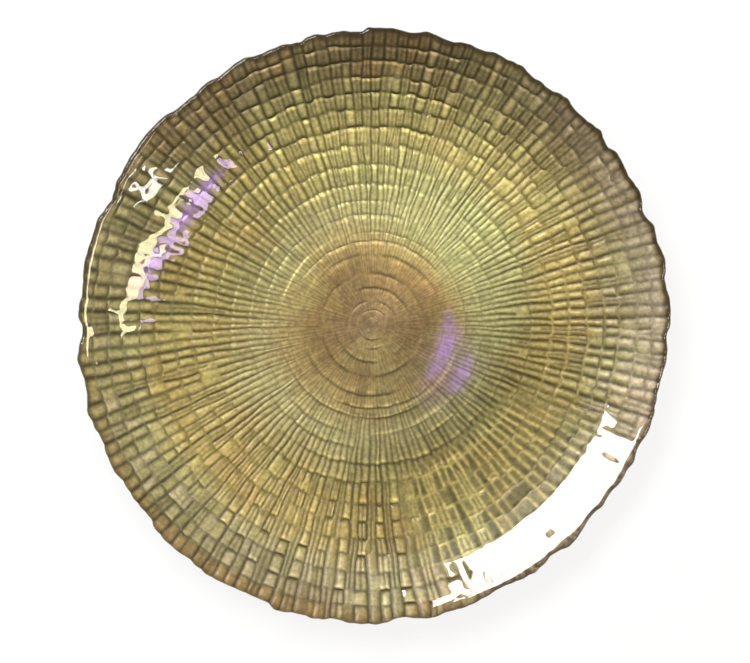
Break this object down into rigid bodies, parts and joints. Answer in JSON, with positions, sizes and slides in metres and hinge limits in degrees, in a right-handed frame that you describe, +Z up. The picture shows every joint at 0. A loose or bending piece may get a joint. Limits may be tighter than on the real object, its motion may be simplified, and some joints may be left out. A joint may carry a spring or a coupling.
{
  "type": "charger plate",
  "caption": "Round pressed-glass charger plate with a wavy edge, a sloped rim, ribs and rings, a foot ring and an iridescent olive-gold lustre on its back.",
  "frame": {"origin": "on the plate's axis, at the plane that the foot ring rests on", "axes": "+Z up along the plate's axis, out of the well; +Y towards the top of the picture, +X to its right"},
  "size_m": [0.3314, 0.3327, 0.0272],
  "materials": {
    "clear_glass": "clear pressed soda-lime glass, fire-polished, with a faint warm tint",
    "gold_lustre": "iridescent olive-gold lustre film, brown-gold in the middle, greenish further out and copper-brown at the edge"
  },
  "bodies": {
    "root": {"glass_body": "clear_glass", "lustre_coat": "gold_lustre"}
  },
  "joints": []
}
